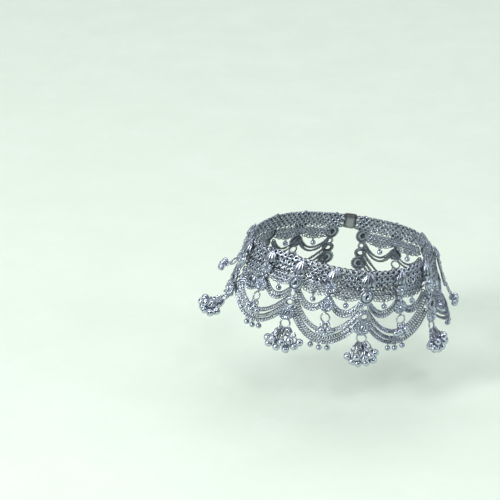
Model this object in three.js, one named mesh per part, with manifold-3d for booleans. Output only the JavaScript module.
// Payal: a bridal anklet of woven silver with swags of chain and clusters of small bells,
// in the form that it takes when it is worn. Millimetres, +Z up, +X towards the heel,
// -X towards the toes. The origin is the middle of the ankle opening, at the mean height
// of the top edge.
//
// Most pieces are laid out flat and then bent onto the worn surface. A place on that
// surface has three numbers: along (round the loop from the heel), down (from the top
// edge) and out (away from the skin).
import * as THREE from "three";
import { mergeVertices } from "three/addons/utils/BufferGeometryUtils.js";
import Module from "manifold-3d";

const wasm = await Module();
wasm.setup();

// ---- Driving dimensions ----------------------------------------------------------------

const HALF_LENGTH = 48.8; // ankle opening, from its middle to the heel
const HALF_WIDTH = 36.1; // ankle opening, from its middle to a side
const EGG = 0.13; // the opening is this much wider at the heel than at the front

// The worn form, from the heel (0 degrees) round one side to the front (180 degrees). The
// far side mirrors it. rim: height of the top edge. flare: lean of the wall outwards, in
// degrees. slant: forward shift for each mm down. hang: lean of the bell clusters.
const WORN_FORM = [
  { angle: 0, rim: -3.9, flare: 16, slant: 0, hang: 24 },
  { angle: 45, rim: -3.6, flare: 2, slant: 0.05, hang: 8 },
  { angle: 90, rim: -0.5, flare: 9, slant: 0.17, hang: 11 },
  { angle: 135, rim: 4.3, flare: 12, slant: 0.2, hang: 32 },
  { angle: 180, rim: 3.4, flare: 23.5, slant: 0, hang: 62 },
];

const COLUMNS = 15; // odd ones are major, even ones minor
const COLUMN_PITCH = 18.1;
const FIRST_COLUMN = -53.4; // along; just before the heel on the far side
const BAY = 2 * COLUMN_PITCH; // from one major column to the next
const BAYS = 7;

const SKIN_GAP = 0.2; // between the skin and the back of the mesh and the chains
const MESH_THICKNESS = 1.3;
const COLUMN_BACK = 2.7; // out; the ornaments stand clear in front of the mesh

const BAND_DEPTH = 10.2;
const BAND_PAST_COLUMN = 5.2; // the band runs on past its first and last columns
const BAND_SLICES = 56;

const SCALLOP = { top: 11, shallow: 4.6, deep: 8, slices: 12 }; // depths at column and middle
const CHAIN_THICKNESS = 1.3;
const SWAG_SLICES = 12;
const END_GAP = 1.6; // from a column's middle to the ends of the chains behind it
const GATHERED = 0.55; // the rows of a chain draw together at its ends to this share of its width

// Chains between two hooks: start is how far down the hooks are, sag is the drop below them.
const SMALL_SWAG = { start: 18.4, sag: 7.8, width: 4.8 };
const INNER_SWAG = { start: 23.6, sag: 14.2, width: 2.4 };
const OUTER_SWAG = { start: 29.3, sag: 13.8, width: 4.7 };

const TINY_BELL = 2.8; // diameters of the three sizes of bell
const SMALL_BELL = 3.5;
const LARGE_BELL = 4.3;
const TINY_BELL_SPACING = 0.11; // share of the bay between the three bells under a swag

const SILVER = { color: 0xc9ccd4, roughness: 0.28, metalness: 1 };

// ---- The worn surface -------------------------------------------------------------------

// A smooth wave through a column of the table, as a sum of cosines or of sines. The end
// rows lie on the mirror plane, so they count half.
function waveThrough(name, angle, wave) {
  const steps = WORN_FORM.length - 1;
  const share = (i) => (i === 0 || i === steps ? 0.5 : 1);
  let sum = 0;
  for (let k = 0; k <= steps; k++) {
    let weight = 0;
    WORN_FORM.forEach((row, j) => {
      weight += share(j) * row[name] * wave((k * j * Math.PI) / steps);
    });
    sum += (share(k) * 2 * weight * wave(k * angle)) / steps;
  }
  return sum;
}

// What is the same on both sides of the foot, and what changes sign on the far side.
const evenWave = (name, angle) => waveThrough(name, angle, Math.cos);
const oddWave = (name, angle) => waveThrough(name, angle, Math.sin);

function rimPoint(angle) {
  const wide = 1 + EGG * Math.cos(angle);
  const x = HALF_LENGTH * Math.cos(angle);
  const y = -HALF_WIDTH * Math.sin(angle) * wide;
  return new THREE.Vector3(x, y, evenWave("rim", angle));
}

const NUDGE = 1e-3; // step for finding the direction of a curve

// Arc lengths round the top edge, so that along can be turned into an angle.
const ARC_STEPS = 720;
const arc = [0];
for (let i = 1; i <= ARC_STEPS; i++) {
  const from = rimPoint(((i - 1) * 2 * Math.PI) / ARC_STEPS);
  const to = rimPoint((i * 2 * Math.PI) / ARC_STEPS);
  arc.push(arc[i - 1] + from.distanceTo(to));
}
const LOOP = arc[ARC_STEPS];

function angleAt(along) {
  const turns = Math.floor(along / LOOP);
  const rest = along - turns * LOOP;
  let i = 1;
  while (arc[i] < rest) i++;
  const share = (rest - arc[i - 1]) / (arc[i] - arc[i - 1]);
  return ((i - 1 + share + turns * ARC_STEPS) * 2 * Math.PI) / ARC_STEPS;
}

// The top edge's point and the three directions there: towards the toes on the near side,
// down the wall, and out of it.
function frameAt(along) {
  const angle = angleAt(along);
  const side = rimPoint(angle + NUDGE).sub(rimPoint(angle - NUDGE));
  side.z = 0;
  side.normalize();
  const level = new THREE.Vector3(-side.y, side.x, 0);
  const flare = THREE.MathUtils.degToRad(evenWave("flare", angle));
  const down = new THREE.Vector3(0, 0, -Math.cos(flare));
  down.addScaledVector(level, Math.sin(flare)).addScaledVector(side, oddWave("slant", angle));
  down.normalize();
  const out = new THREE.Vector3().crossVectors(side, down).normalize();
  return { angle, origin: rimPoint(angle), side, level, down, out };
}

function place(along, down, out) {
  const at = frameAt(along);
  return at.origin.addScaledVector(at.down, down).addScaledVector(at.out, out);
}

// ---- Solids -------------------------------------------------------------------------------

function solidOf(geometry) {
  const bare = geometry.clone();
  bare.deleteAttribute("normal");
  bare.deleteAttribute("uv");
  const merged = mergeVertices(bare, 1e-4);
  const vertProperties = new Float32Array(merged.getAttribute("position").array);
  const triVerts = new Uint32Array(merged.index.array);
  return new wasm.Manifold(new wasm.Mesh({ numProp: 3, vertProperties, triVerts }));
}

// One geometry from several that overlap: soldered or threaded together.
function joined(geometries) {
  const whole = geometries.map(solidOf).reduce((sum, next) => sum.add(next));
  const mesh = whole.getMesh();
  const geometry = new THREE.BufferGeometry();
  geometry.setAttribute("position", new THREE.BufferAttribute(mesh.vertProperties, 3));
  geometry.setIndex(new THREE.BufferAttribute(mesh.triVerts, 1));
  geometry.computeVertexNormals();
  return geometry;
}

// A straight bar of slices whose corners are moved onto the worn surface. edge(t, up) says
// where a corner goes, for t from 0 to 1 along the bar and up from 0 to 1 across it.
function bentBar(edge, back, front, slices) {
  const bar = new THREE.BoxGeometry(1, 1, 1, slices, 1, 1);
  const corners = bar.getAttribute("position");
  for (let i = 0; i < corners.count; i++) {
    const { along, down } = edge(0.5 - corners.getX(i), corners.getY(i) + 0.5);
    const out = back + (corners.getZ(i) + 0.5) * (front - back);
    corners.setXYZ(i, ...place(along, down, out).toArray());
  }
  return bar;
}

const columnAt = (number) => FIRST_COLUMN + (number - 1) * COLUMN_PITCH;
const bayStart = (bay) => columnAt(2 * bay - 1);

// ---- Woven mesh ----------------------------------------------------------------------------

// The flat woven band round the ankle, open where the clasp closes it.
function meshBand() {
  const from = columnAt(1) - BAND_PAST_COLUMN;
  const length = (COLUMNS - 1) * COLUMN_PITCH + 2 * BAND_PAST_COLUMN;
  const edge = (t, up) => ({ along: from + t * length, down: (1 - up) * BAND_DEPTH });
  return bentBar(edge, SKIN_GAP, SKIN_GAP + MESH_THICKNESS, BAND_SLICES);
}

// Two scallops of finer mesh under the band, each with a tiny bell at its lowest point.
function scallopMesh(bay) {
  const from = bayStart(bay) + END_GAP;
  const length = BAY - 2 * END_GAP;
  const fullness = 0.6; // below 1 makes the scallops rounder than a sine wave
  const depth = (t) => {
    const dip = Math.abs(Math.sin(2 * Math.PI * t)) ** fullness;
    return SCALLOP.shallow + (SCALLOP.deep - SCALLOP.shallow) * dip;
  };
  const edge = (t, up) => ({ along: from + t * length, down: SCALLOP.top + (1 - up) * depth(t) });
  const pieces = [bentBar(edge, SKIN_GAP, SKIN_GAP + MESH_THICKNESS, SCALLOP.slices)];
  for (const t of [0.25, 0.75]) {
    pieces.push(tinyBell(from + t * length, SCALLOP.top + SCALLOP.deep));
  }
  return joined(pieces);
}

// ---- Chains --------------------------------------------------------------------------------

// A flat chain that sags from hook to hook, as a bar that follows its curve.
function swagBar(from, length, { start, sag, width }, dips, slices) {
  const dip = (t) => {
    const here = (t * dips) % 1;
    return 4 * here * (1 - here);
  };
  const middle = (t) => new THREE.Vector2(from + t * length, start + sag * dip(t));
  const edge = (t, up) => {
    const next = Math.min(t + NUDGE, 1 - NUDGE);
    const last = Math.max(t - NUDGE, NUDGE);
    const slope = middle(next).sub(middle(last)).normalize();
    const across = dips > 1 ? new THREE.Vector2(0, 1) : new THREE.Vector2(-slope.y, slope.x);
    const gather = GATHERED + (1 - GATHERED) * Math.sqrt(dip(t));
    const spot = middle(t).addScaledVector(across, (0.5 - up) * width * gather);
    return { along: spot.x, down: spot.y };
  };
  return bentBar(edge, SKIN_GAP, SKIN_GAP + CHAIN_THICKNESS, slices);
}

// The upper chain of a bay: two rows of links in two dips, over the minor column.
function smallSwag(bay) {
  return swagBar(bayStart(bay) + END_GAP, BAY - 2 * END_GAP, SMALL_SWAG, 2, SWAG_SLICES);
}

// The single chain of a bay's big swag.
function innerSwag(bay) {
  return swagBar(bayStart(bay) + END_GAP, BAY - 2 * END_GAP, INNER_SWAG, 1, SWAG_SLICES);
}

// The double chain of a bay's big swag, with three tiny bells under its lowest stretch.
function outerSwag(bay) {
  const from = bayStart(bay) + END_GAP;
  const length = BAY - 2 * END_GAP;
  const pieces = [swagBar(from, length, OUTER_SWAG, 1, SWAG_SLICES)];
  for (const step of [-1, 0, 1]) {
    const t = 0.5 + step * TINY_BELL_SPACING;
    const low = OUTER_SWAG.start + OUTER_SWAG.sag * 4 * t * (1 - t) + OUTER_SWAG.width / 2;
    pieces.push(tinyBell(from + t * length, low));
  }
  return joined(pieces);
}

// ---- Bells ---------------------------------------------------------------------------------

const BELL_SIDES = 4;
const CLUSTER_BACK = 0.1; // shares of a bell's diameter: the nearest bells' place in front of the ring,
const CLUSTER_STAGGER = 0.4; // how far every other bell stands in front of its neighbours,
const CLUSTER_RISE = 0.22; // and how far the outer bells of a tier sit above its middle
const STEM_RADIUS = 0.4;
const STEM_SIDES = 3;

// A stem from one point to another, with a bell round its lower end.
function bellOnStem(from, to, diameter, rings = 3) {
  const bell = new THREE.SphereGeometry(diameter / 2, BELL_SIDES, rings);
  bell.translate(to.x, to.y, to.z);
  const axis = to.clone().sub(from);
  const stem = new THREE.CylinderGeometry(STEM_RADIUS, STEM_RADIUS, axis.length(), STEM_SIDES);
  const turn = new THREE.Quaternion().setFromUnitVectors(new THREE.Vector3(0, 1, 0), axis.normalize());
  stem.applyQuaternion(turn);
  const middle = from.clone().add(to).multiplyScalar(0.5);
  stem.translate(middle.x, middle.y, middle.z);
  return [bell, stem];
}

// A tiny bell under the edge of a mesh or chain, already joined to its stem.
function tinyBell(along, down) {
  const middle = SKIN_GAP + CHAIN_THICKNESS / 2;
  const from = place(along, down - 1, middle);
  const to = place(along, down + TINY_BELL / 2 + 0.3, middle + 0.5);
  return joined(bellOnStem(from, to, TINY_BELL, 2));
}

// A bell cluster: a jump ring, and under it tiers of bells, each bell on a stem from the
// nearest one above. Local frame: x to the viewer's right, y up, z out, origin where the
// ring hangs on its column.
function bellCluster({ ring, wire, bell, tiers }) {
  const jumpRing = new THREE.TorusGeometry((ring - wire) / 2, wire / 2, 3, 8);
  jumpRing.translate(0, -ring / 2, 0);
  const pieces = [jumpRing];
  let above = [new THREE.Vector3(0, wire / 2 - ring, 0)];
  for (const { drop, bells, half } of tiers) {
    const tier = [];
    for (let i = 0; i < bells; i++) {
      const share = (2 * i) / (bells - 1) - 1;
      const front = bell * (CLUSTER_BACK + CLUSTER_STAGGER * (i % 2));
      const end = new THREE.Vector3(share * half, -drop + bell * CLUSTER_RISE * share * share, front);
      const closer = (one, other) => (one.distanceTo(end) <= other.distanceTo(end) ? one : other);
      const nearest = above.reduce(closer);
      pieces.push(...bellOnStem(nearest, end, bell));
      tier.push(end);
    }
    above = tier;
  }
  return joined(pieces);
}

const MAJOR_CLUSTER = {
  ring: 5.8,
  wire: 0.9,
  bell: LARGE_BELL,
  tiers: [
    { drop: 8, bells: 3, half: 5 },
    { drop: 12, bells: 4, half: 7.4 },
    { drop: 16, bells: 3, half: 4.6 },
  ],
};
const MINOR_CLUSTER = {
  ring: 5.2,
  wire: 0.8,
  bell: SMALL_BELL,
  tiers: [
    { drop: 7.4, bells: 2, half: 2 },
    { drop: 10, bells: 3, half: 3.7 },
  ],
};

// ---- Columns -------------------------------------------------------------------------------

// Ornaments in a column's local frame: x to the viewer's right, y up, z out, origin on the
// top edge. Each stands on the plane z = COLUMN_BACK.

// Half-round ribbed cone, its point up.
function coneStud(down, width, height) {
  const thick = 2.8;
  const cone = new THREE.ConeGeometry(width / 2, height, 8);
  cone.scale(1, 1, thick / width);
  cone.translate(0, -down, COLUMN_BACK + thick / 2);
  return cone;
}

// Pointed leaf between two arcs.
function almondLeaf(down, width, height) {
  const outline = new THREE.Shape();
  outline.moveTo(0, height / 2);
  outline.quadraticCurveTo(width, 0, 0, -height / 2);
  outline.quadraticCurveTo(-width, 0, 0, height / 2);
  const leaf = new THREE.ExtrudeGeometry(outline, { depth: 1.3, bevelEnabled: false, curveSegments: 4 });
  leaf.translate(0, -down, COLUMN_BACK);
  return leaf;
}

// Ring of round wire that lies flat, with its hole open.
function openRing(down, diameter, wire) {
  const ring = new THREE.TorusGeometry((diameter - wire) / 2, wire / 2, 3, 8);
  ring.scale(1, 1, 0.8);
  ring.translate(0, -down, COLUMN_BACK + 0.4 * wire);
  return ring;
}

// Fan-shaped shell, its hinge up.
function fanShell(down, width, height) {
  const outline = new THREE.Shape();
  outline.moveTo(-width * 0.16, height / 2);
  outline.lineTo(width * 0.16, height / 2);
  outline.lineTo(width / 2, 0);
  outline.quadraticCurveTo(width * 0.46, -height / 2, 0, -height / 2);
  outline.quadraticCurveTo(-width * 0.46, -height / 2, -width / 2, 0);
  const shell = new THREE.ExtrudeGeometry(outline, { depth: 1.8, bevelEnabled: false, curveSegments: 3 });
  shell.translate(0, -down, COLUMN_BACK);
  return shell;
}

// Low round dome, for the flowers.
function dome(down, diameter, height) {
  const disc = new THREE.CylinderGeometry(diameter * 0.3, diameter / 2, height, 8);
  disc.rotateX(Math.PI / 2);
  disc.translate(0, -down, COLUMN_BACK + height / 2);
  return disc;
}

// Narrow bar that joins two ornaments, from one place down the column to another.
function strap(from, to) {
  const bar = new THREE.BoxGeometry(2.2, to - from, 0.8);
  bar.translate(0, -(from + to) / 2, COLUMN_BACK + 0.4);
  return bar;
}

function majorColumn() {
  return joined([
    coneStud(4.7, 8.6, 8.2),
    strap(7.5, 11.5),
    almondLeaf(14.3, 8, 9.8),
    openRing(20.7, 5, 1.6),
    openRing(26, 7.4, 2.4),
    fanShell(32.6, 9, 8.4),
  ]);
}

function minorColumn() {
  return joined([
    coneStud(4.4, 7.4, 7.6),
    strap(7, 10.5),
    dome(11.6, 6.4, 1.8),
    strap(13, 20),
    dome(22.2, 7.6, 2.2),
  ]);
}

const MAJOR_HOOK = { down: 37.3, out: 4 }; // where the bell clusters hang
const MINOR_HOOK = { down: 26.5, out: 4.2 };

// ---- Clasp ---------------------------------------------------------------------------------

const CLASP_BACK = 1.8; // out; the plate clears the front of the band

// One plain piece in the middle of the far side: a tongue between the ends of the band and
// a plate in front of both.
function clasp() {
  const middle = columnAt(1) - (LOOP - (COLUMNS - 1) * COLUMN_PITCH) / 2;
  const tongue = 5;
  const plate = 7;
  const slices = 3;
  const bar = (length, inset, back, front) => {
    const edge = (t, up) => ({
      along: middle + (t - 0.5) * length,
      down: inset + (1 - up) * (BAND_DEPTH - 2 * inset),
    });
    return bentBar(edge, back, front, slices);
  };
  return joined([bar(tongue, 1, SKIN_GAP, COLUMN_BACK), bar(plate, 0.4, CLASP_BACK, CLASP_BACK + 1.2)]);
}

// ---- Assembly ------------------------------------------------------------------------------

const anklet = new THREE.Group();

function addMesh(name, geometry, parent = anklet) {
  const mesh = new THREE.Mesh(geometry, new THREE.MeshStandardMaterial(SILVER));
  mesh.name = name;
  parent.add(mesh);
  return mesh;
}

// A group at a place on the worn surface. lean, where given, turns its down direction from
// the wall's own to one that leans out from the vertical by that angle.
function groupAt(along, down, out, lean) {
  const at = frameAt(along);
  const position = place(along, down, out);
  let fall = at.down;
  if (lean !== undefined) {
    fall = new THREE.Vector3(0, 0, -Math.cos(lean)).addScaledVector(at.level, Math.sin(lean));
  }
  const front = new THREE.Vector3().crossVectors(at.side, fall).normalize();
  const up = fall.clone().negate();
  const right = new THREE.Vector3().crossVectors(up, front);
  const group = new THREE.Group();
  group.quaternion.setFromRotationMatrix(new THREE.Matrix4().makeBasis(right, up, front));
  group.position.copy(position);
  anklet.add(group);
  return group;
}

addMesh("mesh_band", meshBand());
addMesh("clasp", clasp());

for (let bay = 1; bay <= BAYS; bay++) {
  addMesh("scallop_mesh_" + bay, scallopMesh(bay));
  addMesh("small_swag_" + bay, smallSwag(bay));
  addMesh("inner_swag_" + bay, innerSwag(bay));
  addMesh("outer_swag_" + bay, outerSwag(bay));
}

const KINDS = [
  { kind: "major", column: majorColumn(), bells: bellCluster(MAJOR_CLUSTER), hook: MAJOR_HOOK },
  { kind: "minor", column: minorColumn(), bells: bellCluster(MINOR_CLUSTER), hook: MINOR_HOOK },
];
for (let number = 1; number <= COLUMNS; number++) {
  const { kind, column, bells, hook } = KINDS[(number + 1) % 2];
  const label = Math.ceil(number / 2);
  const along = columnAt(number);
  const lean = THREE.MathUtils.degToRad(evenWave("hang", angleAt(along)));
  addMesh(kind + "_column_" + label, column, groupAt(along, 0, 0));
  addMesh(kind + "_bells_" + label, bells, groupAt(along, hook.down, hook.out, lean));
}

export default anklet;
